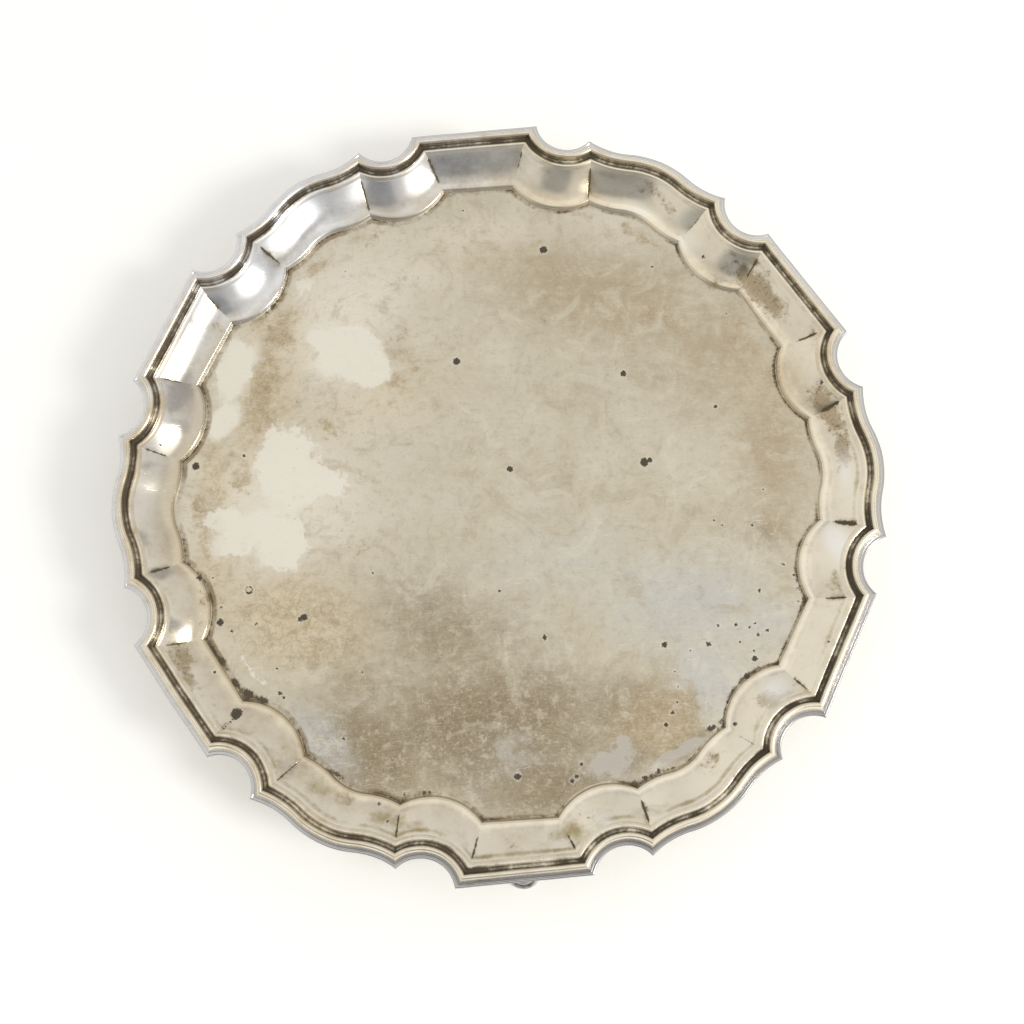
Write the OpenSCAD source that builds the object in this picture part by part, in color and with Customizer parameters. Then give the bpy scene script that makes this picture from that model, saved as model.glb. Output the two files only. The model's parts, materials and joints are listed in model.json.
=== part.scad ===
// Small footed salver: a raised plate with a shaped border, a moulded rim applied
// in mitred lengths, and three cast pad feet. Six straights and six brackets
// alternate round the edge, with a scooped notch between each pair.
// +Z is up and the feet stand on z = 0. One straight, with a foot, faces -Y.

/* [Rim outline] */
// Distance from the centre to the middle of a straight
rim_straight_dist = 100.8; // [100:0.1:101.6]
// Half the length of a straight
rim_straight_half = 17.4; // [16.5:0.1:18]
// Distance from the centre to the crest of a bracket
rim_crest_dist = 101.7; // [101:0.1:102.4]
// Half the distance between the two points of a bracket
rim_bracket_half = 20.4; // [19.8:0.1:20.8]
// Radius of the crest in the middle of a bracket
rim_crest_r = 26; // [22:0.5:30]
// Radius of the hollow shoulders of a bracket
rim_shoulder_r = 22.7; // [20:0.1:26]
// Radius of the scooped notches
rim_notch_r = 8.6; // [8.2:0.1:9.6]
// Half the angle that the crest's arc covers
rim_crest_turn = 19.5; // [18:0.5:21]
// Turn of every straight and bracket about its own middle
rim_lean = 1.6; // [0:0.1:2]

/* [Rim moulding] */
// Width of the moulding
mould_w = 6; // [5.6:0.1:6.4]
// Height of the moulding's crest above the flange it sits on
mould_h = 2.5; // [2.2:0.1:3]

/* [Plate] */
// Distance from the centre to the middle of a straight of the well
well_straight_dist = 85.4; // [84:0.1:86.4]
// Half the length of a straight of the well
well_straight_half = 9.5; // [9:0.1:10.4]
// Distance from the centre to the crest of a bracket of the well
well_crest_dist = 86.2; // [85:0.1:87]
// Half the distance between the two points of a bracket of the well
well_bracket_half = 13.6; // [13.2:0.1:14]
// Radius of the crest in the middle of a bracket of the well
well_crest_r = 14; // [12:0.5:16]
// Radius of the hollow shoulders of a bracket of the well
well_shoulder_r = 22.5; // [20:0.5:25]
// Radius of the scooped notches of the well
well_notch_r = 16.5; // [15.5:0.5:18]
// Half the angle that the crest's arc covers in the well
well_crest_turn = 20; // [18:0.5:21]
// Thickness of the sheet
sheet_t = 0.9; // [0.7:0.05:1]
// Rise from the well to the flange under the moulding
border_h = 5.6; // [4.8:0.1:6.4]
// Height of the small step at the foot of the border
step_h = 1.1; // [0.8:0.05:1.4]

/* [Feet] */
// Height of the plate's underside above the ground
foot_h = 16.6; // [15:0.2:20]
// Distance from the centre to the middle of a foot's pad
foot_pad_dist = 99.2; // [98:0.1:99.3]
// Radius of a foot's pad
foot_pad_r = 4.8; // [4:0.1:5]
// Distance from the centre to the middle of a foot's solder plate
foot_top_dist = 76; // [72:0.5:77]
// Radius of a foot's solder plate
foot_top_r = 6.5; // [5:0.25:7]

/* [Hidden] */
SIDES = 6;
SECTOR = 360 / SIDES;
FRONT = -90;

// Heights of the surfaces that everything else is set from
well_z = foot_h + sheet_t;
flange_z = well_z + border_h;

// How each outline is described: straight distance, straight half length, crest
// distance, bracket half width, crest radius, shoulder radius, notch radius,
// half-angle of the crest and lean. The well's lengths don't lean.
RIM = [
    rim_straight_dist, rim_straight_half, rim_crest_dist, rim_bracket_half,
    rim_crest_r, rim_shoulder_r, rim_notch_r, rim_crest_turn, rim_lean
];
WELL = [
    well_straight_dist, well_straight_half, well_crest_dist, well_bracket_half,
    well_crest_r, well_shoulder_r, well_notch_r, well_crest_turn, 0
];

// Steps along a straight, a notch, a shoulder and a crest in the plate's mesh
STRAIGHT_STEPS = 2;
NOTCH_STEPS = 7;
SHOULDER_STEPS = 3;
CREST_STEPS = 6;

// Distance of the flange's edge in from the rim, behind the lip that hides it
flange_inset = 0.9;
// Thickness of the lip and how far it reaches below the top of the flange
lip_t = 0.6;
lip_drop = 1;

// Thickness of a foot's solder plate, and the disc that the leg grows from, as
// [distance from the centre, height, radius]
foot_plate_t = 1;
LEG_ROOT = [foot_top_dist + 1, foot_h - foot_plate_t - 0.4, foot_top_r - 2];
leg_root_t = 0.6;
// Bends of a foot's leg, as [distance from the centre, height, radius]
KNEE = [foot_top_dist + 7, foot_h - 5.2, 4.2];
SHIN = [foot_top_dist + 15.5, foot_h - 9.4, 2.9];
ANKLE = [foot_pad_dist - 1.2, 4.2, 2.2];
// Section of a foot's pad, as [radius, height]
PAD = [
    [0, 0], [foot_pad_r - 0.2, 0], [foot_pad_r, 0.2], [foot_pad_r, 0.8],
    [foot_pad_r - 0.3, 1.15], [foot_pad_r - 1.1, 1.3], [foot_pad_r - 1.2, 1.8],
    [foot_pad_r - 1.5, 2.1], [2.2, 2.6], [1.6, 4.2], [0, 4.2]
];

STRAIGHTS = [for (i = [1:SIDES]) str("rim_straight_", i)];
NOTCHES = [for (i = [1:2 * SIDES]) str("rim_notch_", i)];
BRACKETS = [for (i = [1:SIDES]) str("rim_bracket_", i)];
FEET = ["foot_front", "foot_right", "foot_left"];

// ---- plane geometry -------------------------------------------------------

function turn(p, a) = [p.x * cos(a) - p.y * sin(a), p.x * sin(a) + p.y * cos(a)];
function unit(v) = v / norm(v);
function polar(r, a) = r * [cos(a), sin(a)];
function bearing(v) = atan2(v.y, v.x);
function wrapped(a) = a - 360 * floor((a + 180) / 360);

// Centre of a circle through p and q that lies to the right of the way from p to q
function centre_through(p, q, r) =
    let (half = (q - p) / 2, side = unit([half.y, -half.x]))
    p + half + side * sqrt(r * r - half * half);

// The crossing of two circles that is nearer the salver's centre
function inner_crossing(c1, r1, c2, r2) =
    let (
        span = norm(c2 - c1),
        along = (r1 * r1 - r2 * r2 + span * span) / (2 * span),
        across = sqrt(r1 * r1 - along * along),
        u = (c2 - c1) / span,
        a = c1 + along * u + across * [-u.y, u.x],
        b = c1 + along * u - across * [-u.y, u.x]
    )
    norm(a) < norm(b) ? a : b;

// Points from p to q along the arc about c, without the last one
function arc(c, p, q, steps) =
    let (a0 = bearing(p - c), sweep = wrapped(bearing(q - c) - a0), r = norm(p - c))
    [for (i = [0:steps - 1]) c + polar(r, a0 + sweep * i / steps)];

// ---- one sector of an outline, with its straight on +X ----------------------

function straight_dir(o) = [-sin(o[8]), cos(o[8])];
function straight_out(o) = [cos(o[8]), sin(o[8])];
function straight_end(o, side) = [o[0], 0] + side * o[1] * straight_dir(o);

// Places on a bracket before it leans and turns to its bearing
function shoulder_raw(o, side) = [o[2] - o[4], 0] + (o[4] + o[5]) * [cos(o[7]), side * sin(o[7])];
function bracket_mid(o) =
    let (s = shoulder_raw(o, 1))
    s.x - sqrt(o[5] * o[5] - (o[3] - s.y) * (o[3] - s.y));
function on_bracket(o, p) =
    let (mid = [bracket_mid(o), 0])
    turn(mid + turn(p - mid, o[8]), SECTOR / 2);
function crest_centre(o) = on_bracket(o, [o[2] - o[4], 0]);
function shoulder_centre(o, side) = on_bracket(o, shoulder_raw(o, side));
function bracket_end(o, side) = on_bracket(o, [bracket_mid(o), side * o[3]]);
// Where a shoulder runs into the crest, d in from the edge
function crest_end(o, d, side) =
    on_bracket(o, [o[2] - o[4], 0] + (o[4] - d) * [cos(o[7]), side * sin(o[7])]);

// The notch after the straight, and the one after the bracket
function notch_centre(o, after_bracket) =
    after_bracket
    ? centre_through(bracket_end(o, 1), turn(straight_end(o, -1), SECTOR), o[6])
    : centre_through(straight_end(o, 1), bracket_end(o, -1), o[6]);

// Corner between a straight and its notch, d in from the edge
function straight_corner(o, d, side) =
    let (
        c = side > 0 ? notch_centre(o, false) : turn(notch_centre(o, true), -SECTOR),
        base = [o[0], 0] - d * straight_out(o),
        w = base - c,
        along = w * straight_dir(o),
        r = o[6] + d,
        s = -along - side * sqrt(along * along - w * w + r * r)
    )
    base + s * straight_dir(o);

// Corner between a bracket and its notch, d in from the edge
function bracket_corner(o, d, side) =
    inner_crossing(notch_centre(o, side > 0), o[6] + d, shoulder_centre(o, side), o[5] + d);

function sector_points(o, d) =
    let (
        s0 = straight_corner(o, d, -1),
        s1 = straight_corner(o, d, 1),
        b0 = bracket_corner(o, d, -1),
        b1 = bracket_corner(o, d, 1),
        next = turn(s0, SECTOR)
    )
    concat(
        [for (i = [0:STRAIGHT_STEPS - 1]) s0 + (s1 - s0) * i / STRAIGHT_STEPS],
        arc(notch_centre(o, false), s1, b0, NOTCH_STEPS),
        arc(shoulder_centre(o, -1), b0, crest_end(o, d, -1), SHOULDER_STEPS),
        arc(crest_centre(o), crest_end(o, d, -1), crest_end(o, d, 1), CREST_STEPS),
        arc(shoulder_centre(o, 1), crest_end(o, d, 1), b1, SHOULDER_STEPS),
        arc(notch_centre(o, true), b1, next, NOTCH_STEPS)
    );
function outline(o, d) =
    let (sector = sector_points(o, d))
    [for (k = [0:SIDES - 1]) for (p = sector) turn(p, FRONT + k * SECTOR)];

// ---- plate ------------------------------------------------------------------

RIM_RING = outline(RIM, mould_w);
WELL_RING = outline(WELL, 0);
FLANGE_RING = outline(RIM, flange_inset);
RING_SIZE = len(WELL_RING);
border_w = rim_straight_dist - mould_w - well_straight_dist;

// Border section from the foot of the step to the moulding, as [share of the
// border's width, height above the well]
STEP = [[0, 0], [0.03, 0.3], [0.06, 0.66], [0.11, 0.9], [0.18, 1]];
COVE_STEPS = 6;
// How late the cove rises: 1 is a straight slope
COVE_POWER = 1.5;
function cove(u) = step_h + (border_h - step_h) * pow(u, COVE_POWER);
cove_x = STEP[len(STEP) - 1].x;
SECTION = concat(
    [for (p = STEP) [p.x, p.y * step_h]],
    [for (i = [1:COVE_STEPS]) let (u = i / COVE_STEPS) [cove_x + (1 - cove_x) * u, cove(u)]]
);

// Slope of the section at a point, taken from its neighbours
function section_slope(i) =
    let (a = SECTION[max(i - 1, 0)], b = SECTION[min(i + 1, len(SECTION) - 1)])
    i == 0 ? 0 : atan2(b.y - a.y, (b.x - a.x) * border_w);
// The same section for the underside, one sheet thickness away
UNDER_SECTION = [
    for (i = [0:len(SECTION) - 1])
        let (a = section_slope(i))
        SECTION[i] + sheet_t * [sin(a) / border_w, -cos(a)]
];

function border_ring(p) = [
    for (i = [0:RING_SIZE - 1])
        let (q = WELL_RING[i] + (RIM_RING[i] - WELL_RING[i]) * p.x)
        [q.x, q.y, well_z + p.y]
];
function flat_ring(ring, z) = [for (q = ring) [q.x, q.y, z]];

module plate() {
    rings = concat(
        [for (p = SECTION) border_ring(p)],
        [flat_ring(FLANGE_RING, flange_z), flat_ring(FLANGE_RING, flange_z - sheet_t)],
        [for (i = [len(UNDER_SECTION) - 1:-1:0]) border_ring(UNDER_SECTION[i])]
    );
    last = len(rings) - 1;
    top_centre = len(rings) * RING_SIZE;
    points = concat(
        [for (r = rings) for (p = r) p],
        [[0, 0, well_z], [0, 0, well_z - sheet_t]]
    );
    walls = [
        for (j = [0:last - 1]) for (i = [0:RING_SIZE - 1])
            let (a = j * RING_SIZE + i, b = j * RING_SIZE + (i + 1) % RING_SIZE)
            [a, a + RING_SIZE, b + RING_SIZE, b]
    ];
    top = [for (i = [0:RING_SIZE - 1]) [top_centre, i, (i + 1) % RING_SIZE]];
    under = [
        for (i = [0:RING_SIZE - 1])
            [top_centre + 1, last * RING_SIZE + (i + 1) % RING_SIZE, last * RING_SIZE + i]
    ];
    // Faces run clockwise when seen from outside
    clockwise = [for (f = concat(walls, top, under)) [for (i = [len(f) - 1:-1:0]) f[i]]];
    color([0.80, 0.76, 0.68]) polyhedron(points, clockwise);
}

// ---- rim moulding -------------------------------------------------------------

function turned(c, r, angles) = [for (a = angles) c + polar(r, a)];
bead_r = 0.6;
crest_r = 0.65;
lip_r = 0.4;
// Section of the moulding from its inner edge to the lip, as [distance in from the
// edge, height above the flange]: bead, groove, crest, hollow and lip
MOULDING = concat(
    [[lip_t, 0], [mould_w, 0], [mould_w - 0.22, 0.28], [mould_w - 0.45, 0.5]],
    turned([mould_w - 1.05, 0.25], bead_r, [50:45:140]),
    [[4.15, 0.5], [3.8, 0.48], [3.5, 0.64], [3.33, 1]],
    turned([2.62, mould_h - crest_r], crest_r, [0:38:152]),
    [[1.6, mould_h - 1.25], [1.3, mould_h - 1.8], [1.06, 0.36]],
    turned([lip_r, 0], lip_r, [45:45:180]),
    [[0, 0.2 - lip_drop], [0.2, -lip_drop], [lip_t, -lip_drop]]
);

// What lies between the mitre planes of a length of moulding. The planes pass through
// the corners at the edge (e0, e1) and at the inside of the moulding (i0, i1), and reach
// inward and outward by shares of the distance between those corners.
module mitred(e0, i0, e1, i1, inward, outward) {
    intersection() {
        children();
        translate([0, 0, flange_z - 2 * lip_drop])
            linear_extrude(2 * lip_drop + 2 * mould_h)
                polygon([
                    e0 + (e0 - i0) * outward,
                    e1 + (e1 - i1) * outward,
                    e1 + (i1 - e1) * inward,
                    e0 + (i0 - e0) * inward
                ]);
    }
}

module sector(k) {
    rotate([0, 0, FRONT + k * SECTOR]) children();
}

module rim_straight(k) {
    reach = rim_straight_half + mould_w;
    color([0.86, 0.84, 0.80]) sector(k)
        mitred(
            straight_corner(RIM, 0, -1), straight_corner(RIM, mould_w, -1),
            straight_corner(RIM, 0, 1), straight_corner(RIM, mould_w, 1),
            inward = 1.3, outward = 0.3
        )
            translate([rim_straight_dist, 0, flange_z])
                rotate([0, 0, rim_lean])
                    translate([0, reach, 0])
                        rotate([90, 0, 0])
                            linear_extrude(2 * reach)
                                polygon([for (p = MOULDING) [-p.x, p.y]]);
}

// Odd notches follow a straight and even ones follow a bracket
module rim_notch(i) {
    after_bracket = i % 2 == 0;
    c = notch_centre(RIM, after_bracket);
    e0 = after_bracket ? bracket_corner(RIM, 0, 1) : straight_corner(RIM, 0, 1);
    i0 = after_bracket ? bracket_corner(RIM, mould_w, 1) : straight_corner(RIM, mould_w, 1);
    e1 = after_bracket ? turn(straight_corner(RIM, 0, -1), SECTOR) : bracket_corner(RIM, 0, -1);
    i1 = after_bracket
        ? turn(straight_corner(RIM, mould_w, -1), SECTOR)
        : bracket_corner(RIM, mould_w, -1);
    // The bar is swept this many degrees past each corner, and then cut
    spare = 20;
    sweep = wrapped(bearing(e0 - c) - bearing(e1 - c)) + 2 * spare;
    color([0.84, 0.82, 0.78]) sector(floor((i - 1) / 2))
        mitred(e0, i0, e1, i1, inward = 3, outward = 0.1)
            translate([c.x, c.y, flange_z])
                rotate([0, 0, bearing(e1 - c) - spare])
                    rotate_extrude(angle = sweep, $fn = 180)
                        polygon([for (p = MOULDING) [rim_notch_r + p.x, p.y]]);
}

// Stations along a bracket, as [centre, bearing, radius at the edge, which way the
// radius grows inwards]
function shoulder_stations(side, spare) =
    let (
        c = shoulder_centre(RIM, side),
        joint = SECTOR / 2 + rim_lean + 180 + side * RIM[7],
        end = bearing(bracket_corner(RIM, 0, side) - c) - side * spare,
        step = wrapped(end - joint) / SHOULDER_STEPS
    )
    [for (i = [1:SHOULDER_STEPS]) [c, joint + i * step, rim_shoulder_r, 1]];
function crest_stations() = [
    for (i = [0:2 * CREST_STEPS])
        let (a = SECTOR / 2 + rim_lean + (i / CREST_STEPS - 1) * RIM[7])
        [crest_centre(RIM), a, rim_crest_r, -1]
];
function reversed(list) = [for (i = [len(list) - 1:-1:0]) list[i]];
function at_station(s, p) =
    let (q = s[0] + polar(s[2] + s[3] * p.x, s[1]))
    [q.x, q.y, flange_z + p.y];

module bracket_bar() {
    n = len(MOULDING);
    // Degrees that the bar is swept past each corner before it is cut
    spare = 8;
    stations = concat(
        reversed(shoulder_stations(-1, spare)), crest_stations(), shoulder_stations(1, spare)
    );
    last = len(stations) - 1;
    sides = [
        for (j = [0:last - 1]) for (i = [0:n - 1])
            let (a = j * n + i, b = j * n + (i + 1) % n)
            [a, a + n, b + n, b]
    ];
    first_end = [for (i = [0:n - 1]) i];
    last_end = [for (i = [n - 1:-1:0]) last * n + i];
    polyhedron(
        [for (s = stations) for (p = MOULDING) at_station(s, p)],
        concat(sides, [first_end, last_end])
    );
}

module rim_bracket(k) {
    color([0.85, 0.83, 0.79]) sector(k)
        mitred(
            bracket_corner(RIM, 0, -1), bracket_corner(RIM, mould_w, -1),
            bracket_corner(RIM, 0, 1), bracket_corner(RIM, mould_w, 1),
            inward = 1.5, outward = 1
        )
            bracket_bar();
}

// ---- feet -----------------------------------------------------------------------

module bend(b) {
    translate([b[0], 0, b[1]]) sphere(r = b[2], $fn = 28);
}

// Cast foot: a round solder plate, a curved leg and a stepped pad
module foot(k) {
    color([0.78, 0.75, 0.69]) rotate([0, 0, FRONT + k * 2 * SECTOR]) {
        union() {
            translate([foot_top_dist, 0, foot_h - foot_plate_t])
                cylinder(r = foot_top_r, h = foot_plate_t, $fn = 64);
            hull() {
                translate([LEG_ROOT[0], 0, LEG_ROOT[1]])
                    cylinder(r = LEG_ROOT[2], h = leg_root_t, $fn = 28);
                bend(KNEE);
            }
            hull() {
                bend(KNEE);
                bend(SHIN);
            }
            hull() {
                bend(SHIN);
                bend(ANKLE);
            }
            translate([foot_pad_dist, 0, 0]) rotate_extrude($fn = 96) polygon(PAD);
        }
    }
}

plate();
for (k = [0:SIDES - 1]) {
    rim_straight(k);
    rim_bracket(k);
}
for (i = [1:2 * SIDES]) {
    rim_notch(i);
}
for (k = [0:len(FEET) - 1]) {
    foot(k);
}
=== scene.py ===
"""Looks of a small footed silver salver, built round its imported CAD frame.

Lengths are in metres. The plate, the twenty-four lengths of rim moulding and the three
feet are fine meshes that stand for the CAD nodes of the same names. The salver stands
on z = 0 with one straight, and a foot, towards -Y.
"""
import cmath
import json
import math

import bmesh
import bpy
import numpy as np
from mathutils import Matrix, Vector


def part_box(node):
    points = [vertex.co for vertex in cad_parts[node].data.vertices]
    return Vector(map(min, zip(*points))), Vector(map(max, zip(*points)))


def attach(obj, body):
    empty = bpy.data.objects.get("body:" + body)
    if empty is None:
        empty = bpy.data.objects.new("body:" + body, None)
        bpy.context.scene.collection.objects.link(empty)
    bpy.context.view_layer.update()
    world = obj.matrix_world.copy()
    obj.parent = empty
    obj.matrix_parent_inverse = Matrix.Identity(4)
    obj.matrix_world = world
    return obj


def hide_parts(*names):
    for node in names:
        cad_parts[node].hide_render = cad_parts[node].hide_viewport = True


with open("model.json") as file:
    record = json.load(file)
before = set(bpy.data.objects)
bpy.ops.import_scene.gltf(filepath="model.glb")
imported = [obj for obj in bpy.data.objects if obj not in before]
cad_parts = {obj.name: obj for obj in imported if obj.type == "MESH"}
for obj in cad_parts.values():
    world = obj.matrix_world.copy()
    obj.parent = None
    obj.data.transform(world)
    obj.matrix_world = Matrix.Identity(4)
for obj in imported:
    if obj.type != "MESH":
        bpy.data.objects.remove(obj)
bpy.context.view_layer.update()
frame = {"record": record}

MM = 0.001
SIDES = 6
SECTOR = math.tau / SIDES
FRONT = -math.pi / 2

# ---- sizes read from the frame ----

mounts = {m["name"]: Vector(m["pos_m"]) for m in frame["record"]["mounts"]}
well_z = mounts["well_floor"].z
under_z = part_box("foot_front")[1].z
sheet_t = well_z - under_z
pad_dist = -mounts["front_foot_rest"].y
LIP_DROP = 1.0 * MM
flange_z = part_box("rim_straight_1")[0].z + LIP_DROP
border_h = flange_z - well_z

# ---- outlines ----

MOULD_W = 6.0 * MM
FLANGE_INSET = 0.9 * MM


def turned(angle):
    """A turn by an angle in the plane, as a complex factor."""
    return cmath.exp(1j * angle)


def centre_through(p, q, radius):
    """Centre of a circle through p and q, to the right of the way from p to q."""
    half = (q - p) / 2
    side = -1j * half / abs(half)
    return p + half + side * math.sqrt(radius**2 - abs(half) ** 2)


def arc_points(centre, start, end, shares):
    """Points on arcs about centre from each start to its end, one row per start."""
    spoke = start - centre
    sweep = np.angle((end - centre) / spoke)
    return centre + spoke[:, None] * np.exp(1j * sweep[:, None] * shares[None, :])


class Outline:
    """A shaped edge: straights and brackets in turn, with a scooped notch between.

    Points are complex numbers, x + iy, for the sector whose straight is on +X. An
    offset is a distance in from the edge.
    """

    def __init__(self, straight_dist, straight_half, crest_dist, bracket_half,
                 crest_r, shoulder_r, notch_r, crest_turn, lean):
        self.straight_dist, self.out = straight_dist, turned(lean)
        self.crest_r, self.shoulder_r, self.notch_r = crest_r, shoulder_r, notch_r
        ends = {s: straight_dist + s * straight_half * 1j * self.out for s in (-1, 1)}
        shoulder = crest_dist - crest_r + (crest_r + shoulder_r) * turned(crest_turn)
        middle = shoulder.real - math.sqrt(shoulder_r**2 - (bracket_half - shoulder.imag) ** 2)

        def placed(point):
            return (middle + (point - middle) * self.out) * turned(SECTOR / 2)

        self.crest = placed(crest_dist - crest_r)
        self.shoulders = {s: placed(complex(shoulder.real, s * shoulder.imag)) for s in (-1, 1)}
        self.joints = {s: self.out * turned(SECTOR / 2 + s * crest_turn) for s in (-1, 1)}
        tips = {s: placed(complex(middle, s * bracket_half)) for s in (-1, 1)}
        self.notches = {
            -1: centre_through(ends[1], tips[-1], notch_r),
            1: centre_through(tips[1], ends[-1] * turned(SECTOR), notch_r),
        }

    def straight_corner(self, offset, side):
        """Corner of a straight and its notch; side 1 is the counter-clockwise end."""
        centre = self.notches[-1] if side > 0 else self.notches[1] * turned(-SECTOR)
        along = 1j * self.out
        base = self.straight_dist - offset * self.out
        w = base - centre
        run = (w * along.conjugate()).real
        step = np.sqrt(run**2 - abs(w) ** 2 + (self.notch_r + offset) ** 2)
        return base + (-run - side * step) * along

    def bracket_corner(self, offset, side):
        """Corner of a bracket and its notch."""
        a, b = self.notches[side], self.shoulders[side]
        ra, rb = self.notch_r + offset, self.shoulder_r + offset
        span = abs(b - a)
        along = (ra**2 - rb**2 + span**2) / (2 * span)
        across = np.sqrt(ra**2 - along**2)
        u = (b - a) / span
        one, two = a + (along + 1j * across) * u, a + (along - 1j * across) * u
        return np.where(abs(one) < abs(two), one, two)

    def lengths(self, offset, shares):
        """The sector's straight, notch, bracket and notch, a row of points per offset."""
        offset = np.asarray(offset, float)
        s0, s1 = self.straight_corner(offset, -1), self.straight_corner(offset, 1)
        b0, b1 = self.bracket_corner(offset, -1), self.bracket_corner(offset, 1)
        crest_r = self.crest_r - offset
        crest_in, crest_out = (self.crest + crest_r * self.joints[s] for s in (-1, 1))
        first, crest, last = shares["bracket"]
        bracket = [
            arc_points(self.shoulders[-1], b0, crest_in, first)[:, :-1],
            arc_points(self.crest, crest_in, crest_out, crest)[:, :-1],
            arc_points(self.shoulders[1], crest_out, b1, last),
        ]
        return {
            "straight": s0[:, None] + (s1 - s0)[:, None] * shares["straight"][None, :],
            "notch_in": arc_points(self.notches[-1], s1, b0, shares["notch"]),
            "bracket": np.hstack(bracket),
            "notch_out": arc_points(self.notches[1], b1, s0 * turned(SECTOR), shares["notch"]),
        }


RIM = Outline(
    straight_dist=100.8 * MM, straight_half=17.4 * MM, crest_dist=101.7 * MM,
    bracket_half=20.4 * MM, crest_r=26 * MM, shoulder_r=22.7 * MM, notch_r=8.6 * MM,
    crest_turn=math.radians(19.5), lean=math.radians(1.6),
)
WELL = Outline(
    straight_dist=85.4 * MM, straight_half=9.5 * MM, crest_dist=86.2 * MM,
    bracket_half=13.6 * MM, crest_r=14 * MM, shoulder_r=22.5 * MM, notch_r=16.5 * MM,
    crest_turn=math.radians(20), lean=0.0,
)


def crowded(count, at_start=True, at_end=True, near=(0.006, 0.016, 0.032, 0.055)):
    """Shares from 0 to 1, closer together near the chosen ends."""
    shares = set(np.linspace(0, 1, count).round(6))
    if at_start:
        shares |= set(near)
    if at_end:
        shares |= {round(1 - s, 6) for s in near}
    return np.array(sorted(shares))


SHARES = {
    "straight": crowded(22),
    "notch": crowded(22),
    "bracket": (crowded(10, True, False), np.linspace(0, 1, 20), crowded(10, False, True)),
}
LENGTHS = ("straight", "notch_in", "bracket", "notch_out")


def whole_ring(outline, offset):
    """The outline all the way round at one offset, corners once each."""
    sector = outline.lengths([offset], SHARES)
    points = np.concatenate([sector[name][0, :-1] for name in LENGTHS])
    turns = [turned(FRONT + k * SECTOR) for k in range(SIDES)]
    return np.concatenate([points * t for t in turns])


def end_gap(line):
    """Distance along a line from each of its points to its nearer end."""
    run = np.concatenate([[0], np.cumsum(abs(np.diff(line)))])
    return np.minimum(run, run[-1] - run)


def corner_gap():
    """Distance along the ring from each station to the nearest corner."""
    sector = RIM.lengths([MOULD_W], SHARES)
    return np.tile(np.concatenate([end_gap(sector[name][0])[:-1] for name in LENGTHS]), SIDES)


# ---- mesh helpers ----


def waves(points, wavelength, seed, count=9):
    """Smooth noise in about -1..1 at each point: a few seeded plane waves."""
    rng = np.random.default_rng(seed)
    directions = rng.normal(size=(count, 3))
    directions /= np.linalg.norm(directions, axis=1)[:, None]
    pace = math.tau / wavelength * rng.uniform(0.6, 1.5, count)
    phase = rng.uniform(0, math.tau, count)
    return np.sin(points @ (directions * pace[:, None]).T + phase).sum(1) / math.sqrt(count)


def hand_worked(points, amount, wavelength):
    """Points moved a little by smooth noise, as hand work leaves a surface."""
    moved = points.copy()
    for axis in range(3):
        moved[:, axis] += amount * waves(points, wavelength, 40 + axis)
    return moved


def closed_mesh(name, points, faces):
    """A mesh whose faces all look outwards."""
    mesh = bpy.data.meshes.new(name)
    mesh.from_pydata(points.tolist(), [], faces)
    body = bmesh.new()
    body.from_mesh(mesh)
    bmesh.ops.recalc_face_normals(body, faces=body.faces)
    body.to_mesh(mesh)
    body.free()
    return mesh


def add_object(name, data):
    """An object in the scene."""
    made = bpy.data.objects.new(name, data)
    bpy.context.scene.collection.objects.link(made)
    return made


def mesh_piece(name, mesh, attributes, material, sharp=math.radians(24)):
    """A smooth-shaded object with named values on its points, sharp past an angle."""
    for key, values in attributes.items():
        layer = mesh.attributes.new(key, "FLOAT", "POINT")
        layer.data.foreach_set("value", np.asarray(values, np.float32))
    mesh.polygons.foreach_set("use_smooth", [True] * len(mesh.polygons))
    mesh.set_sharp_from_angle(angle=sharp)
    mesh.materials.clear()
    mesh.materials.append(material)
    return add_object(name, mesh)


def grid_faces(rows, columns, closed_columns):
    """Faces between neighbouring rows of points."""
    faces = []
    for j in range(rows - 1):
        for i in range(columns if closed_columns else columns - 1):
            a, b = j * columns + i, j * columns + (i + 1) % columns
            faces.append((a, b, b + columns, a + columns))
    return faces


def stand_for(piece, node):
    """The piece takes the CAD node's place in the root body."""
    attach(piece, "root")
    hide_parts(node)


def smooth_step(value, low, high):
    """0 at low, 1 at high, with an eased way between."""
    t = np.clip((value - low) / (high - low), 0, 1)
    return t * t * (3 - 2 * t)


def hump(value, middle, width):
    """1 at the middle, dying away smoothly on either side."""
    return np.exp(-(((value - middle) / width) ** 2))


def rounded_path(points, steps):
    """A smooth line through given points (centripetal Catmull-Rom)."""
    p = np.array([points[0], *points, points[-1]], float)
    line = []
    for k in range(1, len(p) - 2):
        for t in np.arange(steps) / steps:
            a = 2 * p[k]
            b = p[k + 1] - p[k - 1]
            c = 2 * p[k - 1] - 5 * p[k] + 4 * p[k + 1] - p[k + 2]
            d = -p[k - 1] + 3 * p[k] - 3 * p[k + 1] + p[k + 2]
            line.append((a + b * t + c * t**2 + d * t**3) / 2)
    line.append(p[-2])
    return np.array(line)


# ---- shader helper ----

# Turn of the fine brushing from X, in radians
BRUSHING_TURN = 0.1


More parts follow.
